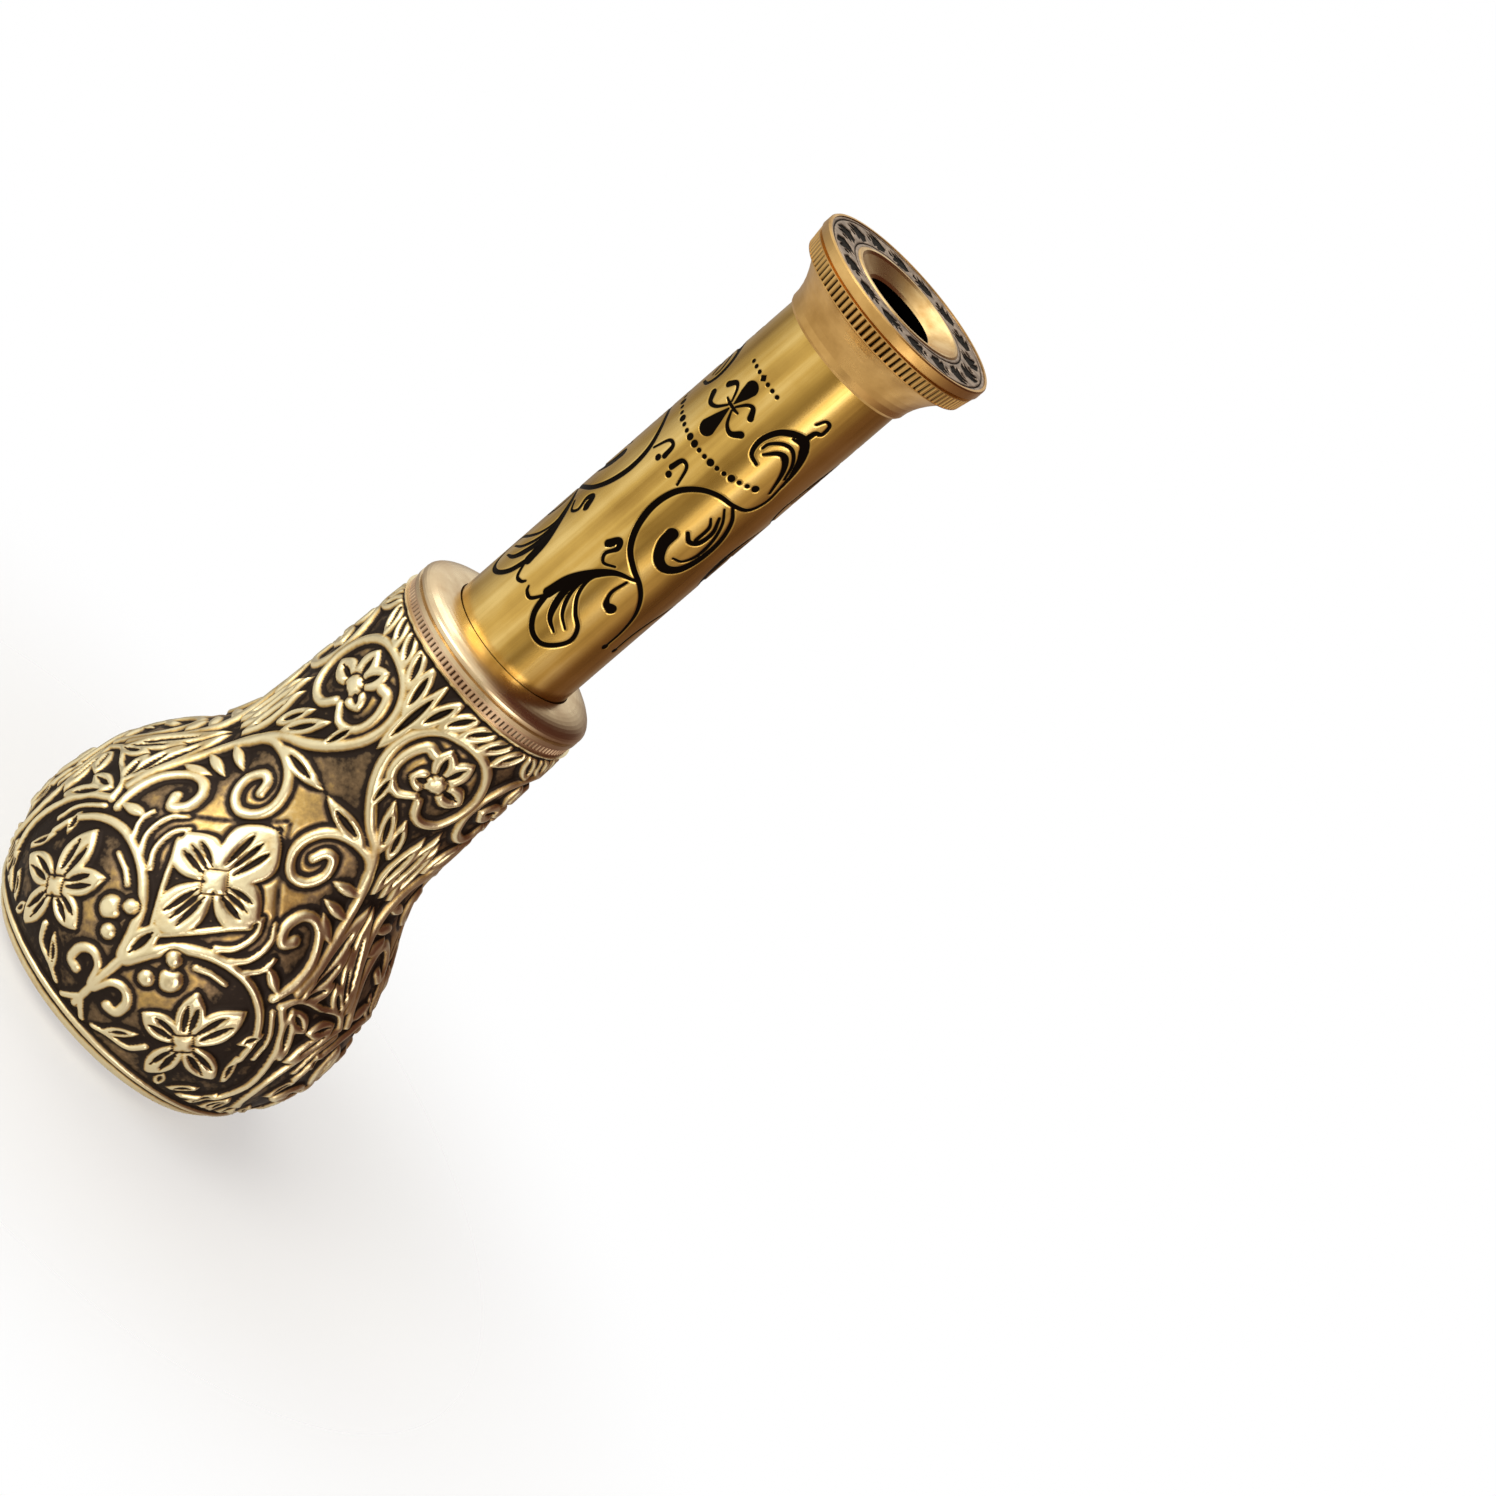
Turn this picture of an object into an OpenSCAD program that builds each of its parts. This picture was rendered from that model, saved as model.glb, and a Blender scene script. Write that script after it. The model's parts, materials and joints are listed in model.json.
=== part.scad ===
// Pocket telescope in brass: a cast, pear-shaped body with one draw tube and a knurled eyepiece cap.
// The optical axis is +Z. The origin is the centre of the objective bezel's front face, which the
// telescope stands on. The draw tube is shown fully drawn out.

/* [Overall] */
// Length with the draw tube pulled out
open_length = 150; // [146:1:154]
// How far the draw tube slides in from there
draw_travel = 49; // [30:1:49]

/* [Body casting] */
// Largest diameter of the bulb
bulb_d = 55.6; // [55:0.1:57]
// Height of the largest diameter above the bezel's face
bulb_z = 15.6; // [15:0.1:16.5]
// Radius of the bulb's lower curve
bulb_lower_r = 19.4; // [19:0.1:20]
// Radius of the bulb's upper curve
bulb_upper_r = 33.7; // [33:0.1:34.5]
// Radius of the hollow curve from bulb to neck
waist_r = 27.4; // [26:0.1:28]
// Diameter at the top of the neck
neck_top_d = 31.8; // [31:0.1:32.4]
// Wall of the casting
shell_wall = 2.6; // [2:0.1:3]

/* [Draw tube] */
// Outside diameter of the draw tube
tube_d = 20.3; // [20.2:0.1:20.5]
// Wall of the draw tube
tube_wall = 0.8; // [0.7:0.1:0.9]

/* [Neck collar] */
// Diameter of the rounded collar
collar_d = 31.2; // [30:0.1:32]
// Height of the low rounded collar with its bead
collar_h = 3.2; // [3:0.1:3.5]
// Number of teeth on the milled ring
mill_count = 120; // [60:10:120]

/* [Eyepiece cap] */
// Diameter of the cap's rim
cap_d = 30.4; // [30:0.1:32]
// Length of the cap along the axis
cap_h = 11.2; // [11:0.1:11.4]
// Number of straight grooves in the grip band
grip_count = 96; // [60:4:100]
// Radius of the hole that the eye looks through
pupil_r = 5.6; // [4:0.1:6]

/* [Objective] */
// Outside diameter of the bezel
bezel_d = 34.3; // [33.8:0.1:34.6]
// Thickness of the bezel's flange
bezel_t = 1.6; // [1.4:0.1:1.7]
// Radius of the bezel's opening
bezel_open_r = 12.8; // [12:0.1:13]
// Radius of the objective lenses
objective_r = 14.8; // [14.6:0.1:14.8]

/* [Hidden] */

$fn = 96;
fit = 0.05;          // radial clearance of a running fit
seat = 0.02;         // gap between pieces that are screwed or pushed home
tiny = 0.01;

cast_brass = "#a98f4e";
polished_brass = "#c8a24a";
tube_brass = "#c09a42";
dark_brass = "#6b5c48";
black_brass = "#2b2723";
lens_glass = "#bcd4dc";
felt_red = "#5a1f1c";
washer_leather = "#8a6a45";

// Derived sizes of the casting
bulb_r = bulb_d / 2;
blend_angle = 35;    // slope where the bulb's curve turns into the waist's
neck_angle = 1.5;    // slope of the neck
shell_bottom = bezel_t;
shell_top = 73.2;
shell_bore_r = 16.6;
boss_top = 12;       // top of the thick ring inside the bottom of the casting
neck_bore_r = 13.55;
neck_bore_start = 47;
blend_r = bulb_r - bulb_upper_r * (1 - cos(blend_angle));
blend_z = bulb_z + bulb_upper_r * sin(blend_angle);
waist_centre = [blend_r + waist_r * cos(blend_angle), blend_z + waist_r * sin(blend_angle)];

// Derived sizes inside the body
barrel_r = 13.5;
barrel_bore_r = 12.3;
cell_shoulder = 12.4;
barrel_bottom = 13.6;
barrel_top = 69;
sleeve_spigot_r = 12.6;
sleeve_top = 76.9;
sleeve_lip = 1.2;
felt_outer_r = 10.9;
mill_h = 1.7;
collar_bottom = shell_top + mill_h;
collar_top = collar_bottom + collar_h;

// Derived sizes of the draw tube
tube_r = tube_d / 2;
tube_bore_r = tube_r - tube_wall;
slide_r = tube_r + fit;
stop_r = barrel_bore_r - 0.1;
stop_gap = 0.4;       // left between stop and cell when pushed right in
stop_bottom = barrel_bottom + stop_gap + draw_travel;
stop_top = barrel_top - 0.1;
tube_bottom = 64.5;
groove_bottom = 65.4;
groove_top = 67.4;
groove_r = 11.2;
split_angle = 12;

// Derived sizes of the eyepiece
cap_bottom = open_length - cap_h;
tube_top = open_length - 6.4;
cap_shoulder = tube_top + 0.4;
cup_seat = cap_shoulder + 1.2;
cap_r = cap_d / 2;
plate_outer_r = cap_r - 0.5;
plate_seat = open_length - 0.9;
plate_t = 0.75;
cup_r = 9.6;
insert_r = tube_bore_r - fit;

// Derived sizes of the objective
spigot_r = 15.3;
spigot_top = 6.1;
washer_t = 0.4;
crown_edge = [7, 8.2];
flint_edge = [8.25, 12];
objective_sag_front = 1.6;
objective_sag_joint = 2.8;
objective_ring_t = 0.4;

// Derived sizes of the erector lenses and the stops
erector_lens_r = 8;
erector_bore_r = erector_lens_r + fit;
erector_front = [65, 67.2];
erector_rear = [74, 76.2];
erector_sag = 0.8;
erector_cell_top = 79;
glare_stop_z = [98, 99];

// Derived sizes of the eyepiece lenses
eyepiece_bottom = open_length - 33;
eyepiece_top = tube_top - 1;
eyepiece_bore_r = 8.5;
field_lens_r = eyepiece_bore_r - fit;
field_edge = [eyepiece_bottom + 2, eyepiece_bottom + 4.4];
field_sag = 1.1;
eye_lens_r = 6.9;
eye_sag = 0.9;
eye_ring_bottom = eyepiece_top - 3.4;
eye_edge = [eye_ring_bottom + 0.8, eye_ring_bottom + 2.6];

// Points on an arc from angle a to angle b in steps; a negative radius turns it inside out.
function arc(centre, radius, a, b, steps) = [
    for (i = [0:steps])
        let (t = a + (b - a) * i / steps)
        [centre[0] + radius * cos(t), centre[1] + radius * sin(t)]
];

function reversed(points) = [for (i = [len(points) - 1:-1:0]) points[i]];

// The casting's side curve, moved inward by depth, from the lower edge to the neck.
function side_curve(depth, bottom) = concat(
    arc([bulb_r - bulb_lower_r, bulb_z], bulb_lower_r - depth,
        asin((bottom - bulb_z) / (bulb_lower_r - depth)), 0, 8),
    arc([bulb_r - bulb_upper_r, bulb_z], bulb_upper_r - depth, blend_angle / 8, blend_angle, 7),
    arc(waist_centre, -(waist_r + depth), blend_angle * 0.85, neck_angle, 7)
);

// Turned solid from [radius, height] points.
module lathe(points) {
    rotate_extrude() polygon(points);
}

// Plain ring between two radii and two heights.
module ring(inner, outer, low, high) {
    difference() {
        translate([0, 0, low]) cylinder(r = outer, h = high - low);
        translate([0, 0, low - 1]) cylinder(r = inner, h = high - low + 2);
    }
}

// How far a lens of radius r bulges past its edge at distance at from the axis.
function dome(r, sag, at) = sag * (1 - pow(at / r, 2));

// Lens of radius r with its edge between two heights; each sag bulges outward when positive.
module lens(r, low, high, sag_low, sag_high) {
    steps = 10;
    lathe(concat(
        [for (i = [0:steps]) [r * i / steps, low - dome(steps, sag_low, i)]],
        [for (i = [steps:-1:0]) [r * i / steps, high + dome(steps, sag_high, i)]]
    ));
}

// Grooves of a straight knurl: count thin prisms around the axis, along a line that leans outward.
module knurl_cutters(count, r_low, r_high, low, high, size) {
    lean = atan2(r_high - r_low, high - low);
    for (i = [0:count - 1])
        rotate([0, 0, i * 360 / count])
            translate([r_low, 0, low])
                rotate([0, lean, 0])
                    cylinder(r = size, h = norm([high - low, r_high - r_low]), $fn = 4);
}

// ---- Body -----------------------------------------------------------------------------------

module body_casting() {
    color(cast_brass)
        lathe(concat(
            [[shell_bore_r, shell_bottom]],
            side_curve(0, shell_bottom),
            [[neck_top_d / 2, shell_top], [neck_bore_r, shell_top], [neck_bore_r, neck_bore_start]],
            reversed(side_curve(shell_wall, boss_top)),
            [[shell_bore_r, boss_top]]
        ));
}

module inner_barrel() {
    color(black_brass) ring(barrel_bore_r, barrel_r, barrel_bottom, barrel_top - seat);
}

module guide_sleeve() {
    color(polished_brass)
        lathe([
            [slide_r, barrel_top], [barrel_r, barrel_top], [barrel_r, shell_top - seat],
            [sleeve_spigot_r, shell_top - seat], [sleeve_spigot_r, sleeve_top - seat],
            [felt_outer_r, sleeve_top - seat], [felt_outer_r, barrel_top + sleeve_lip],
            [slide_r, barrel_top + sleeve_lip]
        ]);
}

module guide_felt() {
    color(felt_red)
        ring(slide_r, felt_outer_r - seat, barrel_top + sleeve_lip + seat, sleeve_top - 2 * seat);
}

module milled_ring() {
    mill_r = neck_top_d / 2 - 0.45;
    color(polished_brass)
        difference() {
            ring(sleeve_spigot_r + seat, mill_r, shell_top, collar_bottom - seat);
            knurl_cutters(mill_count, mill_r + 0.1, mill_r + 0.1, shell_top + 0.35,
                collar_bottom - 0.35, 0.35);
        }
}

module neck_collar() {
    bead_r = collar_d / 2;
    bore = sleeve_spigot_r + seat;
    round_r = 4.4;
    round_h = collar_h - 1.2;
    round_bottom = collar_top - round_h;
    lip_r = slide_r + 0.15;
    color(polished_brass)
        lathe(concat(
            [[bore, collar_bottom], [bead_r, collar_bottom], [bead_r, collar_bottom + 0.6],
             [bead_r - 0.5, collar_bottom + 0.8], [bead_r - 0.5, round_bottom - 0.2]],
            [for (t = [0:9:90]) [bead_r - round_r + round_r * cos(t), round_bottom + round_h * sin(t)]],
            [[lip_r, collar_top], [lip_r, sleeve_top], [bore, sleeve_top]]
        ));
}

// ---- Objective ------------------------------------------------------------------------------

module objective_cell() {
    cell_r = shell_bore_r - seat;
    neck_r = 15;
    neck_top = barrel_bottom + 5;
    color(black_brass)
        lathe([
            [spigot_r + fit, bezel_t + washer_t], [cell_r, bezel_t + washer_t], [cell_r, boss_top],
            [neck_r, boss_top], [neck_r, neck_top], [barrel_r + seat, neck_top],
            [barrel_r + seat, barrel_bottom - seat], [bezel_open_r, barrel_bottom - seat],
            [bezel_open_r, cell_shoulder], [objective_r + fit, cell_shoulder],
            [objective_r + fit, spigot_top + 0.05], [spigot_r + fit, spigot_top + 0.05]
        ]);
}

module objective_seat_washer() {
    color(washer_leather) ring(bezel_open_r, objective_r, flint_edge[1] + seat, cell_shoulder - seat);
}

module crown_lens() {
    color(lens_glass, 0.4)
        lens(objective_r, crown_edge[0], crown_edge[1], objective_sag_front, objective_sag_joint);
}

module flint_lens() {
    color(lens_glass, 0.4)
        lens(objective_r, flint_edge[0], flint_edge[1], -objective_sag_joint, 0);
}

// Presses on the crown lens with the inner edge of its upper face.
module objective_lens_ring() {
    high = crown_edge[0] - dome(objective_r, objective_sag_front, bezel_open_r) - seat;
    color(black_brass) ring(bezel_open_r, objective_r, high - objective_ring_t, high);
}

module bezel_washer() {
    color(washer_leather) ring(spigot_r + fit, shell_bore_r - fit, bezel_t + seat, bezel_t + washer_t - seat);
}

module objective_bezel() {
    edge = 0.4;
    mouth = 1.4;
    color(polished_brass)
        lathe([
            [bezel_open_r + mouth, 0], [bezel_d / 2 - edge, 0], [bezel_d / 2, edge],
            [bezel_d / 2, bezel_t - tiny], [spigot_r, bezel_t - tiny], [spigot_r, spigot_top],
            [bezel_open_r, spigot_top], [bezel_open_r, mouth]
        ]);
}

// ---- Draw tube ------------------------------------------------------------------------------

module draw_tube() {
    color(tube_brass) ring(tube_bore_r, tube_r, tube_bottom, tube_top);
}

module draw_stop() {
    color(black_brass)
        lathe([
            [tube_bore_r, stop_bottom], [stop_r, stop_bottom], [stop_r, groove_bottom],
            [groove_r, groove_bottom], [groove_r, groove_top], [stop_r, groove_top],
            [stop_r, stop_top], [tube_r + seat, stop_top], [tube_r + seat, tube_bottom - seat],
            [tube_bore_r, tube_bottom - seat]
        ]);
}

// Split ring that presses outward on the barrel. It slides with the draw tube, which turns inside it.
module friction_ring() {
    color(polished_brass)
        difference() {
            ring(groove_r + fit, barrel_bore_r - 0.03, groove_bottom + fit, groove_top - fit);
            translate([0, 0, groove_bottom])
                rotate([0, 0, -split_angle / 2])
                    rotate_extrude(angle = split_angle)
                        square([barrel_r, groove_top - groove_bottom]);
        }
}

module erector_cell() {
    shoulder_r = 6.8;
    color(black_brass)
        lathe([
            [erector_bore_r, stop_bottom + 0.3], [insert_r, stop_bottom + 0.3], [insert_r, erector_cell_top],
            [shoulder_r, erector_cell_top], [shoulder_r, erector_rear[1] + erector_sag],
            [erector_bore_r, erector_rear[1] + seat]
        ]);
}

module erector_lens_front() {
    color(lens_glass, 0.4)
        lens(erector_lens_r, erector_front[0], erector_front[1], erector_sag, erector_sag);
}

module erector_spacer() {
    inner = 7;
    web_bore_r = 2.6;
    web_t = 0.6;
    gap = dome(erector_lens_r, erector_sag, inner) + seat;
    web = (erector_front[1] + erector_rear[0] - web_t) / 2;
    color(black_brass) {
        ring(inner, erector_lens_r, erector_front[1] + gap, erector_rear[0] - gap);
        ring(web_bore_r, inner + 0.5, web, web + web_t);
    }
}

module erector_lens_rear() {
    color(lens_glass, 0.4)
        lens(erector_lens_r, erector_rear[0], erector_rear[1], erector_sag, erector_sag);
}

module erector_ring() {
    inner = 6.8;
    high = erector_front[0] - dome(erector_lens_r, erector_sag, inner) - seat;
    color(black_brass) ring(inner, erector_lens_r, stop_bottom + 0.4, high);
}

module glare_stop() {
    color(black_brass) ring(5.5, insert_r, glare_stop_z[0], glare_stop_z[1]);
}

// ---- Eyepiece lenses ------------------------------------------------------------------------

module eyepiece_barrel() {
    field_shoulder = [field_edge[1] + seat, field_edge[1] + 1];
    eye_shoulder = [eye_ring_bottom - 1, eye_ring_bottom - seat];
    color(black_brass) {
        ring(eyepiece_bore_r, insert_r, eyepiece_bottom, eyepiece_top);
        ring(7.6, eyepiece_bore_r + 0.4, field_shoulder[0], field_shoulder[1]);
        ring(6, eyepiece_bore_r + 0.4, eye_shoulder[0], eye_shoulder[1]);
    }
}

module field_lens() {
    color(lens_glass, 0.4)
        lens(field_lens_r, field_edge[0], field_edge[1], field_sag, 0);
}

module field_lens_ring() {
    inner = 7.4;
    high = field_edge[0] - dome(field_lens_r, field_sag, inner) - seat;
    color(black_brass) ring(inner, field_lens_r, eyepiece_bottom + 0.2, high);
}

module field_stop() {
    stop_z = (field_edge[1] + eye_ring_bottom) / 2;
    color(black_brass) ring(4.2, field_lens_r, stop_z, stop_z + 0.8);
}

module eye_lens() {
    color(lens_glass, 0.4) lens(eye_lens_r, eye_edge[0], eye_edge[1], eye_sag, 0);
}

module eye_lens_ring() {
    inner = 6.1;
    seat_r = eye_lens_r + fit;
    lip = eye_edge[0] - dome(eye_lens_r, eye_sag, inner) - seat;
    color(black_brass)
        lathe([
            [inner, eye_ring_bottom], [field_lens_r, eye_ring_bottom], [field_lens_r, eyepiece_top],
            [seat_r, eyepiece_top], [seat_r, lip], [inner, lip]
        ]);
}

// ---- Eyepiece cap ---------------------------------------------------------------------------

module cap_washer() {
    color(washer_leather) ring(tube_bore_r, tube_r, tube_top + seat, cap_shoulder - seat);
}

// Trumpet-shaped cup: a short skirt on the tube, a flare, the grip band, a groove and the rim.
module eyepiece_cap() {
    skirt_r = tube_r + 0.55;
    grip_low = [14.6, open_length - 4.3];
    grip_high = [15, open_length - 1.95];
    flare_end = [13.5, open_length - 4.7];
    groove_r = 14.55;
    flare = [
        for (i = [0:6])
            let (t = i / 6)
            [skirt_r + (flare_end[0] - skirt_r) * pow(t, 1.8),
             cap_bottom + 0.4 + (flare_end[1] - cap_bottom - 0.4) * t]
    ];
    color(polished_brass)
        difference() {
            lathe(concat(
                [[slide_r, cap_bottom], [skirt_r - 0.2, cap_bottom]],
                flare,
                [grip_low, grip_high, [groove_r, open_length - 1.75],
                 [groove_r, open_length - 1.55], [cap_r, open_length - 1.4],
                 [cap_r, open_length - 0.2], [cap_r - 0.15, open_length],
                 [plate_outer_r, open_length], [plate_outer_r, plate_seat], [cup_r, plate_seat],
                 [cup_r, cup_seat], [6.6, cup_seat], [6.6, cap_shoulder], [slide_r, cap_shoulder]]
            ));
            knurl_cutters(grip_count, grip_low[0] + 0.05, grip_high[0] + 0.05,
                grip_low[1] + 0.15, grip_high[1] - 0.15, 0.38);
        }
}

module face_plate() {
    color(dark_brass)
        ring(cup_r, plate_outer_r - seat, plate_seat + seat, plate_seat + plate_t);
}

module eye_cup() {
    color(polished_brass)
        lathe([
            [pupil_r, cup_seat + seat], [cup_r - seat, cup_seat + seat],
            [cup_r - seat, open_length - 0.15], [cup_r - 0.3, open_length],
            [cup_r - 0.7, open_length], [cup_r - 1.1, open_length - 0.3],
            [pupil_r + 0.5, open_length - 1.5], [pupil_r, open_length - 1.9]
        ]);
}

// ---- Assembly -------------------------------------------------------------------------------

body_casting();
inner_barrel();
guide_sleeve();
guide_felt();
milled_ring();
neck_collar();
objective_cell();
objective_seat_washer();
crown_lens();
flint_lens();
objective_lens_ring();
bezel_washer();
objective_bezel();
friction_ring();
draw_tube();
draw_stop();
erector_cell();
erector_lens_front();
erector_spacer();
erector_lens_rear();
erector_ring();
glare_stop();
eyepiece_barrel();
field_lens();
field_lens_ring();
field_stop();
eye_lens();
eye_lens_ring();
cap_washer();
eyepiece_cap();
face_plate();
eye_cup();
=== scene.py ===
import json
import math

import bpy
import numpy as np
from mathutils import Matrix, Vector


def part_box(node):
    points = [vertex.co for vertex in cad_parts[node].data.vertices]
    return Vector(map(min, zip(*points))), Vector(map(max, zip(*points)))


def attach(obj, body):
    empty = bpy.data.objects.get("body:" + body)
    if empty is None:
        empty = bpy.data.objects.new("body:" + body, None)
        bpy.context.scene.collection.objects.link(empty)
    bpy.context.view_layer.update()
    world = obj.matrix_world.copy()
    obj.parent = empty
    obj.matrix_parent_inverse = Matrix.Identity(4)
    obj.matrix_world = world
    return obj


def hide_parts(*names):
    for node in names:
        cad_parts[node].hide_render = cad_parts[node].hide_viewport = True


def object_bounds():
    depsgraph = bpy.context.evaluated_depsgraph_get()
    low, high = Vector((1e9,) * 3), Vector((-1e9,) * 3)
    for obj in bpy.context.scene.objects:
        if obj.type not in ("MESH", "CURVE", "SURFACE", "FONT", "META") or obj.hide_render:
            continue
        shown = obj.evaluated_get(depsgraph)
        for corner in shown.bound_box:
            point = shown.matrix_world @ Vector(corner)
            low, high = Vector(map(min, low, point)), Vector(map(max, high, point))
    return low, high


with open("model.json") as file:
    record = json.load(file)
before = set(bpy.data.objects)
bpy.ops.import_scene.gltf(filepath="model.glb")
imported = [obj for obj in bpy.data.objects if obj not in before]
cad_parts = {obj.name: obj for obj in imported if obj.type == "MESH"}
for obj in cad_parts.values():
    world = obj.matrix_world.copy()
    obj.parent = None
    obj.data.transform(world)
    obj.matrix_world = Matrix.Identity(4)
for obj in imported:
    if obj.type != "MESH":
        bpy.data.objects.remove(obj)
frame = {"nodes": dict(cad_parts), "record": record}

# The looks of the brass telescope. The casting, the draw tube and the face plate are made anew,
# with their ornament. Every other piece keeps its CAD shape and gets a material. Lengths are in
# metres, but the ornament is drawn in degrees round the axis and millimetres along it.

CAD_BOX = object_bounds()
MM = 0.001
DATUM = -2              # mm: heights of the ornament are given from 2 mm below the bezel's face

bpy.context.scene.view_settings.view_transform = "Standard"

# ---- Camera ---------------------------------------------------------------------------------

VIEW_DISTANCE = 0.850               # m
VIEW_ELEVATION = math.radians(19)
AXIS_SLOPE = math.radians(40.85)    # the optical axis runs up to the right in the picture
LENS_MM = 152.2
SENSOR_MM = 36
CLIP_END = 20                       # m
AIM_BELOW_TOP = 0.076               # m
AIM_RIGHT = math.radians(2.31)      # the telescope stands left of the picture's middle
AIM_DOWN = math.radians(0.775)


def make_camera():
    centre = Vector((0, 0, CAD_BOX[1].z - AIM_BELOW_TOP))
    across = Vector((1, 0, 0))
    along = Vector((0, math.sin(VIEW_ELEVATION), math.cos(VIEW_ELEVATION)))
    back = Vector((0, -math.cos(VIEW_ELEVATION), math.sin(VIEW_ELEVATION)))
    right = across * math.sin(AXIS_SLOPE) + along * math.cos(AXIS_SLOPE)
    up = along * math.sin(AXIS_SLOPE) - across * math.cos(AXIS_SLOPE)
    turn = Matrix((right, up, back)).transposed()
    turn = turn @ Matrix.Rotation(-AIM_RIGHT, 3, "Y") @ Matrix.Rotation(-AIM_DOWN, 3, "X")
    data = bpy.data.cameras.new("camera")
    data.lens = LENS_MM
    data.sensor_width = SENSOR_MM
    data.clip_end = CLIP_END
    camera = bpy.data.objects.new("camera", data)
    camera.matrix_world = Matrix.Translation(centre + back * VIEW_DISTANCE) @ turn.to_4x4()
    bpy.context.scene.collection.objects.link(camera)
    bpy.context.scene.camera = camera


make_camera()

# ---- Node helpers ---------------------------------------------------------------------------


class Nodes:
    """Short calls for building a node tree."""

    def __init__(self, tree):
        self.tree = tree

    def add(self, kind, **settings):
        node = self.tree.nodes.new(kind)
        for name, value in settings.items():
            setattr(node, name, value)
        return node

    def link(self, source, target):
        self.tree.links.new(source, target)

    def noise(self, vector, scale, detail=4, stretch=(1, 1, 1)):
        mapping = self.add("ShaderNodeMapping")
        mapping.inputs["Scale"].default_value = stretch
        self.link(vector, mapping.inputs["Vector"])
        node = self.add("ShaderNodeTexNoise")
        node.inputs["Scale"].default_value = scale
        node.inputs["Detail"].default_value = detail
        self.link(mapping.outputs["Vector"], node.inputs["Vector"])
        return node.outputs["Fac"]

    def ramp(self, factor, stops):
        node = self.add("ShaderNodeValToRGB")
        elements = node.color_ramp.elements
        while len(elements) < len(stops):
            elements.new(0.5)
        for element, (place, colour) in zip(elements, stops):
            element.position = place
            element.color = (*colour, 1)
        self.link(factor, node.inputs["Fac"])
        return node.outputs["Color"]

    def math(self, operation, a, b):
        node = self.add("ShaderNodeMath", operation=operation)
        for socket, value in zip(node.inputs, (a, b)):
            if isinstance(value, (int, float)):
                socket.default_value = value
            else:
                self.link(value, socket)
        return node.outputs[0]

    def span(self, value, low, high, to_low, to_high):
        node = self.add("ShaderNodeMapRange")
        for socket, number in zip(list(node.inputs)[1:5], (low, high, to_low, to_high)):
            socket.default_value = number
        self.link(value, node.inputs[0])
        return node.outputs[0]

    def mix(self, factor, a, b, blend="MIX"):
        node = self.add("ShaderNodeMix", data_type="RGBA", blend_type=blend)
        for socket, value in ((node.inputs[0], factor), (node.inputs[6], a), (node.inputs[7], b)):
            if isinstance(value, tuple):
                socket.default_value = (*value, 1)
            elif isinstance(value, (int, float)):
                socket.default_value = value
            else:
                self.link(value, socket)
        return node.outputs[2]

    def attribute(self, name):
        return self.add("ShaderNodeAttribute", attribute_name=name).outputs["Fac"]

    def bump(self, height, strength, distance, before=None):
        node = self.add("ShaderNodeBump")
        node.inputs["Strength"].default_value = strength
        node.inputs["Distance"].default_value = distance
        self.link(height, node.inputs["Height"])
        if before is not None:
            self.link(before, node.inputs["Normal"])
        return node.outputs["Normal"]


def new_material(name, metallic, roughness):
    material = bpy.data.materials.new(name)
    material.use_nodes = True
    n = Nodes(material.node_tree)
    shader = material.node_tree.nodes["Principled BSDF"]
    shader.inputs["Metallic"].default_value = metallic
    shader.inputs["Roughness"].default_value = roughness
    place = n.add("ShaderNodeTexCoord").outputs["Object"]
    return material, n, shader, place


# ---- Materials ------------------------------------------------------------------------------

CREAM = (0.88, 0.79, 0.53)
GOLD = (0.62, 0.42, 0.15)
BRONZE = (0.24, 0.165, 0.095)
PATINA = (0.035, 0.026, 0.022)
# Near black: the ink of engraved lines, a blackened bore, and the painted shade in knurled grooves.
BLACK_AND_SHADE = (0.006, 0.004, 0.003)
TUBE_DARK, TUBE_MIDDLE, TUBE_LIGHT = (0.40, 0.24, 0.055), (0.64, 0.42, 0.11), (0.84, 0.62, 0.24)
PLATE_DARK, PLATE_LIGHT = (0.20, 0.145, 0.11), (0.42, 0.33, 0.26)
# Painted shade in the grooves of a knurled band: it begins at the first depth, is full at the
# second, and covers at most the share below.
GROOVE_SHADE_FROM, GROOVE_SHADE_FULL = 0.04 * MM, 0.26 * MM       # depth below the outline of a knurled band
GROOVE_SHADE_COVER = 0.95


def distance_from_axis(n, place):
    flat = n.add("ShaderNodeVectorMath", operation="MULTIPLY")
    flat.inputs[1].default_value = (1, 1, 0)
    n.link(place, flat.inputs[0])
    length = n.add("ShaderNodeVectorMath", operation="LENGTH")
    n.link(flat.outputs[0], length.inputs[0])
    return length.outputs["Value"]


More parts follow.
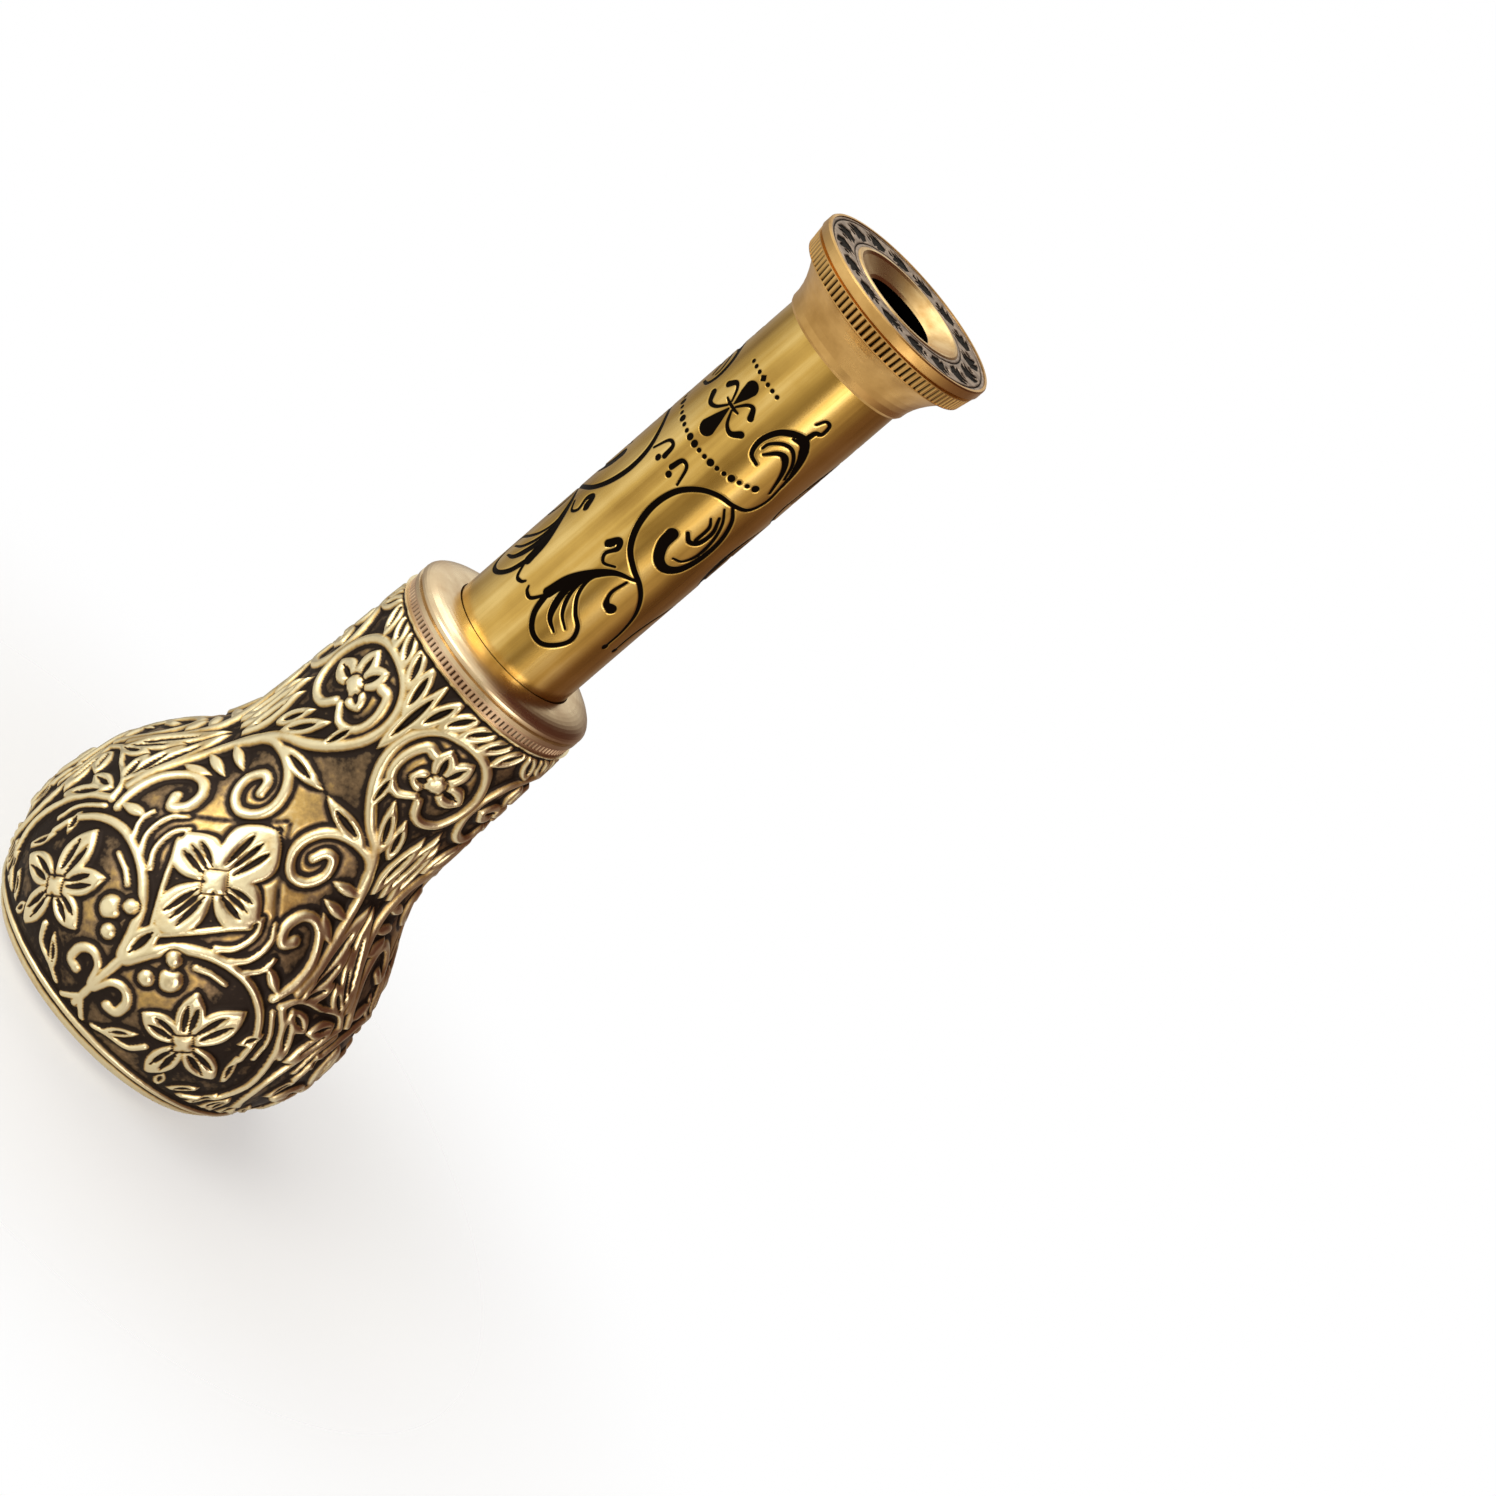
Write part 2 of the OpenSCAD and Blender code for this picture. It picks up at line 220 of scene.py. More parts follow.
def turned_brass(name, light, dark, roughness, groove_shade=None, black_bore=0):
    """Brass turned on a lathe: fine rings round the axis, cloudy tarnish and small handling marks.

    For a knurled band, (low, high, radius at low, radius at high) sets where its grooves get
    painted shade, darker the deeper they lie below the band's outline.
    black_bore is the radius of a hole whose wall is blackened.
    """
    material, n, shader, place = new_material(name, 1, roughness)
    cloud = n.noise(place, 90, 6)
    rings = n.noise(place, 900, 2, (0.04, 0.04, 1))
    wear = n.noise(place, 420, 8)
    tarnish = n.math("ADD", n.math("MULTIPLY", cloud, 0.65), n.math("MULTIPLY", wear, 0.35))
    colour = n.ramp(tarnish, [(0.36, dark), (0.62, light)])
    radius = distance_from_axis(n, place)
    # Painted shade: the knurled band's grooves are darkened towards near black the deeper they lie
    # below its outline.
    if groove_shade:
        low, high, low_radius, high_radius = groove_shade
        split = n.add("ShaderNodeSeparateXYZ")
        n.link(place, split.inputs[0])
        height = split.outputs["Z"]
        outline = n.span(height, low, high, low_radius, high_radius)
        depth = n.math("SUBTRACT", outline, radius)
        deep = n.span(depth, GROOVE_SHADE_FROM, GROOVE_SHADE_FULL, 0, GROOVE_SHADE_COVER)
        band = n.math("MULTIPLY", n.math("GREATER_THAN", height, low),
                      n.math("LESS_THAN", height, high))
        colour = n.mix(n.math("MULTIPLY", deep, band), colour, BLACK_AND_SHADE)
    if black_bore:
        colour = n.mix(n.math("LESS_THAN", radius, black_bore), colour, BLACK_AND_SHADE)
    n.link(colour, shader.inputs["Base Color"])
    n.link(n.span(tarnish, 0.35, 0.65, roughness + 0.14, roughness - 0.04),
           shader.inputs["Roughness"])
    n.link(n.bump(rings, 0.22, 0.00004, n.bump(wear, 0.18, 0.00006)), shader.inputs["Normal"])
    return material


def drawn_brass():
    """The draw tube: streaks along the axis, and engraved lines filled with black."""
    material, n, shader, place = new_material("drawn_brass", 1, 0.22)
    streak = n.noise(place, 420, 4, (1, 1, 0.03))
    cloud = n.noise(place, 70, 5)
    tone = n.math("ADD", n.math("MULTIPLY", streak, 0.55), n.math("MULTIPLY", cloud, 0.45))
    brass = n.ramp(tone, [(0.36, TUBE_DARK), (0.5, TUBE_MIDDLE), (0.64, TUBE_LIGHT)])
    ink = n.span(n.attribute("ink"), 0.42, 0.56, 0, 1)
    n.link(n.mix(ink, brass, BLACK_AND_SHADE), shader.inputs["Base Color"])
    n.link(n.math("MAXIMUM", n.span(tone, 0.35, 0.65, 0.28, 0.17), n.span(ink, 0, 1, 0, 0.6)),
           shader.inputs["Roughness"])
    n.link(n.bump(streak, 0.12, 0.00004), shader.inputs["Normal"])
    return material


def cast_brass():
    """The casting: dark patina in the hollows, gold to cream on the rubbed relief, sandy ground."""
    material, n, shader, place = new_material("cast_brass", 1, 0.36)
    grain = n.noise(place, 1300, 6)
    patch = n.noise(place, 120, 5)
    height = n.attribute("relief")
    cavity = n.attribute("cavity")
    rubbed = n.math("ADD", n.math("MULTIPLY", height, 0.62), 0.16)
    for detail, weight in ((cavity, 0.9), (patch, 0.7), (grain, 0.35)):
        change = n.math("MULTIPLY", n.math("SUBTRACT", detail, 0.5), weight)
        rubbed = n.math("ADD", rubbed, change)
    colour = n.ramp(rubbed, [(0.16, PATINA), (0.34, BRONZE), (0.55, GOLD), (0.84, CREAM)])
    n.link(colour, shader.inputs["Base Color"])
    n.link(n.span(rubbed, 0.1, 0.9, 0.60, 0.30), shader.inputs["Roughness"])
    n.link(n.bump(grain, 0.5, 0.00010, n.bump(patch, 0.25, 0.0002)), shader.inputs["Normal"])
    return material


def plate_brass():
    """The eyepiece's face: antique brown brass, its ornament cut through to darker metal."""
    material, n, shader, place = new_material("plate_brass", 0.85, 0.42)
    grain = n.noise(place, 800, 6)
    brown = n.ramp(grain, [(0.35, PLATE_DARK), (0.65, PLATE_LIGHT)])
    ink = n.span(n.attribute("ink"), 0.42, 0.58, 0, 1)
    n.link(n.mix(ink, brown, BLACK_AND_SHADE), shader.inputs["Base Color"])
    n.link(n.span(ink, 0, 1, 0.36, 0.7), shader.inputs["Roughness"])
    n.link(n.bump(grain, 0.3, 0.00006), shader.inputs["Normal"])
    return material


def blackened_brass():
    """Inner pieces lacquered matt black, with brass just showing where they rub."""
    material, n, shader, place = new_material("blackened_brass", 0.3, 0.62)
    wear = n.noise(place, 700, 7)
    n.link(n.ramp(wear, [(0.66, (0.012, 0.011, 0.010)), (0.78, (0.16, 0.11, 0.05))]),
           shader.inputs["Base Color"])
    n.link(n.bump(wear, 0.2, 0.00006), shader.inputs["Normal"])
    return material


def lens_glass():
    """Coated optical glass, with a trace of dust in its roughness."""
    material, n, shader, place = new_material("lens_glass", 0, 0.02)
    shader.inputs["Transmission Weight"].default_value = 1
    shader.inputs["IOR"].default_value = 1.52
    shader.inputs["Base Color"].default_value = (0.90, 0.95, 0.96, 1)
    n.link(n.span(n.noise(place, 1600, 5), 0.5, 0.8, 0.012, 0.07), shader.inputs["Roughness"])
    return material


def fibrous(name, light, dark, scale):
    """Felt or leather: matt, with a fibre texture."""
    material, n, shader, place = new_material(name, 0, 0.92)
    fibre = n.noise(place, scale, 8)
    n.link(n.ramp(fibre, [(0.35, dark), (0.65, light)]), shader.inputs["Base Color"])
    n.link(n.bump(fibre, 0.7, 0.0002), shader.inputs["Normal"])
    return material


MATERIALS = {
    "cast_brass": cast_brass(),
    "polished_brass": turned_brass("polished_brass", (0.86, 0.62, 0.32), (0.55, 0.34, 0.14), 0.24),
    "tube_brass": drawn_brass(),
    "dark_brass": plate_brass(),
    "black_brass": blackened_brass(),
    "lens_glass": lens_glass(),
    "felt": fibrous("felt", (0.26, 0.05, 0.04), (0.10, 0.02, 0.018), 1800),
    "washer_leather": fibrous("washer_leather", (0.40, 0.25, 0.13), (0.20, 0.11, 0.05), 1200),
}

# ---- Shape helpers --------------------------------------------------------------------------

OUTSIDE = 0.1               # m from the axis, beyond every piece
STEM_FULLNESS = 1.1         # widens every stem of the relief
LINE_FULLNESS = 1.45        # widens every engraved line
SOFT_EDGE = 0.6             # mm over which a drawn edge rises
DARK_OUTLINE = 0.8          # mm of ground that sinks beside a feature
LEAF_HEIGHT = 0.9
SHARP_ANGLE = math.radians(60)


def radius_at(node, height, inside=False):
    """The radius in metres of a CAD node's outer wall, or of its inner one, at a height."""
    shape = frame["nodes"][node]
    start = Vector((0, 0, height)) if inside else Vector((OUTSIDE, 0, height))
    hit, place, _, _ = shape.ray_cast(start, Vector((1 if inside else -1, 0, 0)))
    if not hit:
        raise ValueError(f"{node} has no wall at {height}")
    return place.x


def smooth_curve(points, steps=8):
    """Points along a smooth curve through the given ones (Catmull-Rom)."""
    p = np.array(points, float)
    p = np.vstack([2 * p[0] - p[1], p, 2 * p[-1] - p[-2]])
    t = np.linspace(0, 1, steps, endpoint=False)[:, None]
    runs = []
    for a, b, c, d in zip(p, p[1:], p[2:], p[3:]):
        runs.append(0.5 * (2 * b + (c - a) * t + (2 * a - 5 * b + 4 * c - d) * t ** 2
                           + (3 * b - a - 3 * c + d) * t ** 3))
    return np.vstack([*runs, p[-2:-1]])


class Sheet:
    """A field over a patch of surface, on which the ornament is drawn.

    angle is in degrees and height in mm. across and up are the mm per unit of each.
    """

    def __init__(self, angle, height, across, up):
        self.angle, self.height, self.across, self.up = angle, height, across, up
        self.field = np.zeros(angle.shape)
        self.near = np.zeros(angle.shape)
        self.slots = np.zeros(angle.shape)

    def offset(self, place):
        return (self.angle - place[0]) * self.across, (self.height - place[1]) * self.up

    def distance(self, line):
        """Distance in mm to a line, and how far along it (0 to 1) the nearest point is."""
        best = np.full(self.angle.shape, 1e9)
        along = np.zeros(self.angle.shape)
        for i, (a, b) in enumerate(zip(line, line[1:])):
            x, y = self.offset(a)
            dx, dy = (b[0] - a[0]) * self.across, (b[1] - a[1]) * self.up
            t = np.clip((x * dx + y * dy) / (dx * dx + dy * dy + 1e-9), 0, 1)
            d = np.hypot(x - t * dx, y - t * dy)
            near = d < best
            best[near] = d[near]
            along[near] = ((i + t) / (len(line) - 1))[near]
        return best, along

    def reach(self, place, square):
        """Distance in mm from a point. If square, equal distances form a lozenge."""
        x, y = self.offset(place)
        return (np.abs(x) + np.abs(y)) if square else np.hypot(x, y)

    def raise_to(self, value):
        self.field = np.maximum(self.field, value)

    def fill(self, inside):
        """Fills where inside, the mm within an edge, is positive. The field is 0.5 at the edge."""
        self.raise_to(np.clip(0.5 + inside / SOFT_EDGE, 0, 1))

    def crowd(self, gap):
        """Marks the ground gap mm from a feature's edge, to be sunk as a dark outline."""
        self.near = np.maximum(self.near, np.clip(1 - gap / DARK_OUTLINE, 0, 1))

    def ridge(self, points, start, end, height=0.92):
        """A round-backed stem whose half width in mm runs from start to end."""
        d, t = self.distance(smooth_curve(points))
        width = STEM_FULLNESS * (start + (end - start) * t)
        self.raise_to(height * np.clip(1 - (d / width) ** 2, 0, 1) ** 0.7)
        self.crowd(d - width)

    def groove(self, points, half_width, depth):
        """A line cut into whatever is there."""
        d, _ = self.distance(smooth_curve(points))
        self.slots = np.maximum(self.slots, depth * np.clip(1 - (d / half_width) ** 2, 0, 1))

    def local(self, base, tip):
        """How far along base to tip (0 to 1), and the distance to either side in mm."""
        x, y = self.offset(base)
        dx, dy = (tip[0] - base[0]) * self.across, (tip[1] - base[1]) * self.up
        length = np.hypot(dx, dy)
        return (x * dx + y * dy) / length ** 2, (x * dy - y * dx) / length

    def leaf(self, base, tip, half_width, slots=(0,), slot_width=0.42, belly=0.85):
        """A pointed leaf or petal with dark slots cut along it.

        slots are the slots' places across it, from -1 to 1. With a higher belly the leaf is
        widest nearer its tip.
        """
        t, side = self.local(base, tip)
        inside = np.clip(t, 0, 1)
        width = half_width * np.sin(math.pi * inside ** belly) ** 0.75
        within = (t > 0) & (t < 1)
        edge = np.clip((width - np.abs(side)) / SOFT_EDGE, 0, 1) * within
        self.crowd(np.where((t > -0.06) & (t < 1.06), np.abs(side) - width, 9))
        self.raise_to(LEAF_HEIGHT * np.sin(edge * math.pi / 2))
        for slot in slots:
            lean = side - slot * half_width * (0.3 + 0.7 * inside)
            taper = np.clip(np.sin(math.pi * np.clip((t - 0.2) / 0.56, 0, 1)), 0, 1)
            cut = np.clip(1.3 - (np.abs(lean) / (slot_width * taper + 1e-6)) ** 2, 0, 1)
            self.slots = np.maximum(self.slots, cut * (taper > 0.05) * within)

    def knob(self, place, size, square=False):
        """A small round or four-sided boss with a sunk ring round it."""
        d = self.reach(place, square)
        self.raise_to(np.clip((size - d) / (0.45 * size), 0, 1) ** 0.5)
        ring = 0.8 * np.clip(1 - np.abs(d - size - 0.3) / 0.35, 0, 1)
        self.slots = np.maximum(self.slots * (d > size), ring)
        self.crowd(d - size)

    def carved(self, ground):
        """The finished field: features over a ground that sinks beside them, slots cut last."""
        field = np.maximum(self.field, ground * (1 - 0.85 * self.near))
        return field * (1 - 0.92 * self.slots)

    def ink(self, points, start, middle, end):
        """An engraved line, with its half widths in mm at the start, the middle and the end."""
        d, t = self.distance(smooth_curve(points))
        first = start + (middle - start) * 2 * t
        second = middle + (end - middle) * (2 * t - 1)
        self.fill(LINE_FULLNESS * np.where(t < 0.5, first, second) - d)

    def dot(self, place, size, square=False):
        self.fill(size - self.reach(place, square))


def turned_mesh(name, radius, height, attributes, corners=()):
    """A closed mesh from rows of radii and heights. Each row runs round the axis, and the last
    row joins the first.

    corners are the rows whose edges stay sharp however blunt the angle there is.
    """
    rows, columns = radius.shape
    angle = np.radians(np.arange(columns) * 360 / columns)
    points = np.stack([radius * np.sin(angle), -radius * np.cos(angle), height], -1).reshape(-1, 3)
    i, j = np.meshgrid(np.arange(rows), np.arange(columns), indexing="ij")
    below, beside = (i + 1) % rows, (j + 1) % columns
    faces = np.stack([i * columns + j, i * columns + beside, below * columns + beside,
                      below * columns + j], -1).reshape(-1, 4)
    mesh = bpy.data.meshes.new(name)
    mesh.from_pydata(points.tolist(), [], faces.tolist())
    for label, values in attributes.items():
        layer = mesh.attributes.new(label, "FLOAT", "POINT")
        layer.data.foreach_set("value", np.ascontiguousarray(values, np.float32).ravel())
    mesh.shade_smooth()
    mesh.set_sharp_from_angle(angle=SHARP_ANGLE)
    ends = np.empty(len(mesh.edges) * 2, np.int32)
    mesh.edges.foreach_get("vertices", ends)
    row_of = ends.reshape(-1, 2) // columns
    sharp = np.empty(len(mesh.edges), bool)
    mesh.edges.foreach_get("use_edge_sharp", sharp)
    sharp |= (row_of[:, 0] == row_of[:, 1]) & np.isin(row_of[:, 0], corners)
    mesh.edges.foreach_set("use_edge_sharp", sharp)
    shape = bpy.data.objects.new(name, mesh)
    bpy.context.scene.collection.objects.link(shape)
    return shape


def finish_piece(shape, node, body, slot):
    shape.data.materials.append(MATERIALS[slot])
    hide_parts(node)
    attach(shape, body)


# ---- Casting --------------------------------------------------------------------------------

RELIEF_TURN = -5        # degrees from the -Y side to the middle of the large flower
REPEATS = 3
RELIEF_DEPTH = 1.05     # mm, cut below the casting's own surface
CAST_COLUMNS = 104      # in each mirrored half of a repeat
CAST_ROWS = 292
FOOT = 6.6              # mm, where the ornament starts above the plain rim
LIP = 74.5              # mm, where it ends under the neck
FOOT_FADE, LIP_FADE = 0.4, 0.25     # mm over which the ornament turns plain
RIM_LINE = 5            # mm, a line scored round the plain rim
LINE_DEPTH = 0.8        # of the lines round the casting, as a share of the relief
BED_LEVEL = 0.12        # of the ground, where it is deep
# Golden plateaus worn on the ground: level, angle and half width, height and half width.
PLATEAUS = ((0.52, 0, 30, 40, 10.5), (0.24, 14, 13, 20, 6), (0.38, 26, 22, 66, 4))

OUTLINE_SAMPLES = 721
OUTLINE_WINDOW = 21     # samples averaged, so that the outline's corners are round
OUTLINE_ENDS = 12       # samples at either end that stay sharp
OUTLINE_OVER = 0.03 * MM    # how far a rounded corner may stand out over the CAD outline
INSIDE_RINGS = 9
INSIDE_RELIEF, INSIDE_CAVITY = 0.2, 0.5     # what the material reads on the plain inside

CAVITY_PASSES, CAVITY_GAIN = 26, 1.1
RELIEF_PASSES = 2
HAND_SEED, HAND_PASSES = 7, 40      # slow unevenness, as of work by hand
HAND_DEPTH = 0.08       # as a share of the relief
HAND_BELOW = 0.95       # relief higher than this stays even


def main_flower(s):
    """The large flower: upper and lower petals on the mirror line, and one to the side."""
    centre = (0, 34.2)
    for tip, half_width in (((0, 43.8), 4.4), ((20, 34.8), 3.7), ((0, 24.8), 3.4)):
        s.leaf(centre, tip, half_width, (-0.46, 0, 0.46), slot_width=0.5, belly=1.15)
    s.knob(centre, 2.1, square=True)


def flower_frame(s):
    """A line scored in the ground over the large flower, and short arcs beside and below it."""
    s.groove([(27, 35.4), (18, 38.8), (9, 42.2), (1, 45.4)], 0.5, 0.55)
    s.ridge([(1.5, 24.6), (8, 28.4), (14, 31.6), (19, 33.6)], 0.5, 0.5)
    s.ridge([(16, 28.8), (20.5, 30.6), (22.4, 33.4), (20.4, 35.2)], 0.5, 0.42)
    s.ridge([(21.5, 28.8), (26.3, 30.6), (28, 33.6), (25.5, 35.8)], 0.5, 0.42)
    s.ridge([(27.5, 29), (31.5, 30.4), (33, 32.4)], 0.45, 0.4)


def stem(s):
    """The stem up the mirror line to the large flower, with a leaf and a small scroll."""
    s.ridge([(0, 21), (0, 14), (0, 8)], 0.9, 0.6)
    s.ridge([(0.5, 19.4), (4, 22.6), (7.5, 25)], 0.8, 0.9)
    s.leaf((0, 18.4), (0, 26.4), 1.9, slot_width=0.62)
    s.ridge([(0, 10), (2.6, 8.4), (5, 7.2)], 0.55, 0.5)
    s.ridge([(1, 12.5), (3, 15.2), (7, 16), (10.3, 14.8), (10.3, 12.6), (7.4, 12.2)], 0.6, 0.95)


def lower_flower(s):
    """The five-petalled flower low on the bulb, with berries and small leaves."""
    centre = (30, 16.2)
    for tip, half_width in (((37, 25.2), 2.7), ((47, 14.2), 2.3), ((31.5, 8.2), 2.2),
                            ((15, 15.6), 2.2), ((21.5, 23.2), 2.2)):
        s.leaf(centre, tip, half_width, slots=(-0.42, 0.42), slot_width=0.5, belly=1.05)
    s.knob(centre, 1.7, square=True)
    s.ridge([(24, 11.8), (21, 9.6), (14, 8.8), (9, 7.8)], 0.6, 0.4)
    s.leaf((12, 8.6), (20, 12.6), 0.9)
    s.knob((13.6, 21.6), 1.9)
    s.knob((8.6, 19.4), 1.3)
    s.knob((10, 23.9), 1.2)
    s.ridge([(16, 25.2), (20.5, 26), (26, 26.2)], 0.5, 0.4, 0.7)
    for base, tip in (((41, 8), (48, 11.6)), ((38, 7.4), (35, 10.4)),
                      ((50, 14), (45, 19.6)), ((47, 24), (42.5, 20.4))):
        s.leaf(base, tip, 0.9)


def lower_vines(s):
    """The vine that arches over the lower flower, and two that run down beside it."""
    s.ridge([(1, 19), (5, 23), (10, 26), (19, 28.1), (30, 28.4), (39, 26.6), (45, 23.2),
             (47, 19)], 1.0, 0.6)
    s.ridge([(46, 28), (52, 25), (56.6, 20), (57.6, 15), (54, 10.6), (47, 8.2)], 0.7, 0.6)
    s.ridge([(44, 27), (49.4, 23.6), (50.6, 20)], 0.5, 0.42, 0.85)
    for angle in (52, 58):
        s.leaf((angle, 7.2), (angle + 2, 12.4), 0.9)


def scrolls(s):
    """The large scroll above the main flower, the smaller one beside it, and their leaves."""
    s.ridge([(47, 31), (50, 36), (50.6, 41.5), (47.5, 46.2), (40, 49.2), (30, 50), (20, 49.4),
             (13, 47.6), (10, 45), (12, 42.6), (18, 41.2), (25, 42), (28.4, 44.2), (26, 46.2),
             (21.5, 46.2), (19, 44.6)], 1.0, 0.8)
    s.ridge([(41, 28.6), (44.6, 31.8), (45.6, 35.2), (42.4, 38), (37, 39), (31.6, 38.4),
             (29, 36.4), (31.4, 34.7), (35, 35.6)], 0.85, 0.95)
    for base, tip in (((48.6, 44.4), (33, 44)), ((50, 41), (35, 41.6)), ((48.6, 37.6), (38, 40.4)),
                      ((41, 29.4), (32, 31.6))):
        s.leaf(base, tip, 1.05, slots=())


def palmette(s):
    """Half of the leaf fan that two neighbouring repeats share."""
    s.ridge([(45, 28.2), (49, 30), (54, 30.4), (60, 30.2)], 0.7, 0.5)
    for tip in ((59, 44), (60, 38.6), (60, 34)):
        s.leaf((48.6, 29.6), tip, 1.6, slot_width=0.42, belly=1.2)
    for tip in ((60, 26.4), (59.4, 21)):
        s.leaf((48.5, 28.8), tip, 1.6, slot_width=0.42, belly=1.2)
    for angle, top in ((60, 58), (54, 56.4)):
        s.leaf((angle, 45), (angle, top), 1.5, slot_width=0.42)


def medallion(s):
    """The flower in a round vine on the neck, with leaves along the vine."""
    s.ridge([(48, 45), (43, 48.6), (36, 51.2), (27, 53), (19, 55.2), (12, 57.8), (7, 60.6),
             (4.9, 63.8), (7.4, 67), (15, 69.6), (27, 70.7), (40, 70.4), (50.5, 68.6),
             (57.3, 65.4), (58, 62), (53, 59), (45, 57.8), (38, 58.2), (33.5, 60)], 1.0, 0.8)
    s.leaf((33, 50.4), (1.4, 51.6), 1.5, slot_width=0.58)
    s.leaf((41, 50.6), (25, 58.2), 1.4, slot_width=0.42)
    s.leaf((47, 50.4), (37, 57), 1.4, slot_width=0.42)
    s.leaf((19, 54.6), (14, 61.8), 1.1, slot_width=0.34)
    centre = (33, 63.4)
    s.ridge([(30, 60.4), (22, 59), (13.6, 60.4), (11.6, 63.6), (15.6, 66.6), (21, 66.6)], 0.7, 1.0)
    for tip, half_width in (((25, 68.8), 2.0), ((20, 62), 1.9), ((40, 69.2), 2.0),
                            ((53, 63.2), 2.2)):
        s.leaf(centre, tip, half_width, slot_width=0.5, belly=1.15)
    s.knob(centre, 1.4)


def neck_leaves(s):
    """The row of leaves that leans outward under the neck's lip."""
    s.leaf((0, 61), (0, 75.4), 1.5, slot_width=0.5)
    for base, tip in (((3.4, 66.6), (12.5, 75.4)), ((11, 69.4), (25, 75.6)),
                      ((21, 70.6), (38, 75.6)), ((33, 70.8), (50, 75.6)),
                      ((45, 70.2), (60.5, 75.4))):
        s.leaf(base, tip, 1.5, slot_width=0.45)


def ground_level(angle, height):
    """How high the ground stands: worn plateaus in three places, a deep bed elsewhere."""
    level = BED_LEVEL
    for rise, at_angle, wide, at_height, tall in PLATEAUS:
        away = ((angle - at_angle) / wide) ** 4, ((height - at_height) / tall) ** 4
        level = level + rise * np.exp(-away[0] - away[1])
    return level


def line_round(height, place, half_width):
    """A line round the casting: 1 at its place, fading over its half width in mm."""
    return np.exp(-((height - place) / half_width) ** 2)


def casting_relief(heights, radii, slopes):
    """Relief from 0, the deepest ground, to 1, the CAD surface, over one mirrored half repeat."""
    degrees = np.linspace(0, 180 / REPEATS, CAST_COLUMNS + 1)
    height, angle = np.meshgrid(heights, degrees, indexing="ij")
    across = np.repeat((radii * math.pi / 180)[:, None], len(degrees), 1)
    s = Sheet(angle, height, across, np.repeat(slopes[:, None], len(degrees), 1))
    for part in (lower_vines, lower_flower, scrolls, palmette, medallion, neck_leaves, flower_frame,
                 main_flower, stem):
        part(s)
    field = s.carved(ground_level(angle, height))
    plain = np.clip(np.maximum((FOOT - height) / FOOT_FADE, (height - LIP) / LIP_FADE), 0, 1)
    lines = line_round(height, FOOT, 0.3) + line_round(height, LIP, 0.25)
    lines = lines + 0.8 * line_round(height, RIM_LINE, 0.3)
    scored = 1 - LINE_DEPTH * np.clip(lines, 0, 1)
    return np.clip((field * (1 - plain) + plain) * scored, 0, 1)


def around(half):
    """The half repeat, mirrored and repeated once round, first column on the -Y side."""
    repeat = np.concatenate([half[:, :-1], half[:, :0:-1]], 1)
    full = np.tile(repeat, (1, REPEATS))
    return np.roll(full, round(RELIEF_TURN / 360 * full.shape[1]), axis=1)


def soften(field, passes):
    """The field averaged with its neighbours. It joins up round the axis."""
    for _ in range(passes):
        field = (field + np.roll(field, 1, 1) + np.roll(field, -1, 1)
                 + np.vstack([field[:1], field[:-1]]) + np.vstack([field[1:], field[-1:]])) / 5
    return field


def casting_outline(low, high):
    """Heights and radii up the casting's outer side, evenly spaced along its curve."""
    fine = np.linspace(low, high, OUTLINE_SAMPLES)
    outline = np.array([radius_at("body_casting", z) for z in fine])
    kernel = np.hanning(OUTLINE_WINDOW) / np.hanning(OUTLINE_WINDOW).sum()
    padded = np.pad(outline, OUTLINE_WINDOW // 2, mode="edge")
    rounded = np.minimum(np.convolve(padded, kernel, "valid"), outline + OUTLINE_OVER)
    order = np.arange(OUTLINE_SAMPLES)
    outline = np.where(np.minimum(order, order[::-1]) < OUTLINE_ENDS, outline, rounded)
    length = np.concatenate([[0], np.cumsum(np.hypot(np.diff(fine), np.diff(outline)))])
    even = np.linspace(0, length[-1], CAST_ROWS)
    return np.interp(even, length, fine), np.interp(even, length, outline)


def casting_inside(low, high):
    """Heights from the top down, and the radii of the plain inside at them."""
    heights = np.linspace(high, low, INSIDE_RINGS)
    return heights, np.array([radius_at("body_casting", z, inside=True) for z in heights])


def make_casting_piece(name, heights, outer, inner_heights, inner, relief, cavity):
    """One closed piece: the carved outside, and the plain inside from its top down."""
    rows, columns = outer.shape
    radius = np.vstack([outer, np.repeat(inner[:, None], columns, 1)])
    height = np.repeat(np.concatenate([heights, inner_heights])[:, None], columns, 1)
    plain = np.ones((len(inner), columns))
    attributes = {"relief": np.vstack([relief, INSIDE_RELIEF * plain]),
                  "cavity": np.vstack([cavity, INSIDE_CAVITY * plain])}
    corners = (0, rows - 1, rows, rows + len(inner) - 1)
    casting = turned_mesh(name, radius, height, attributes, corners)
    finish_piece(casting, "body_casting", "body", "cast_brass")


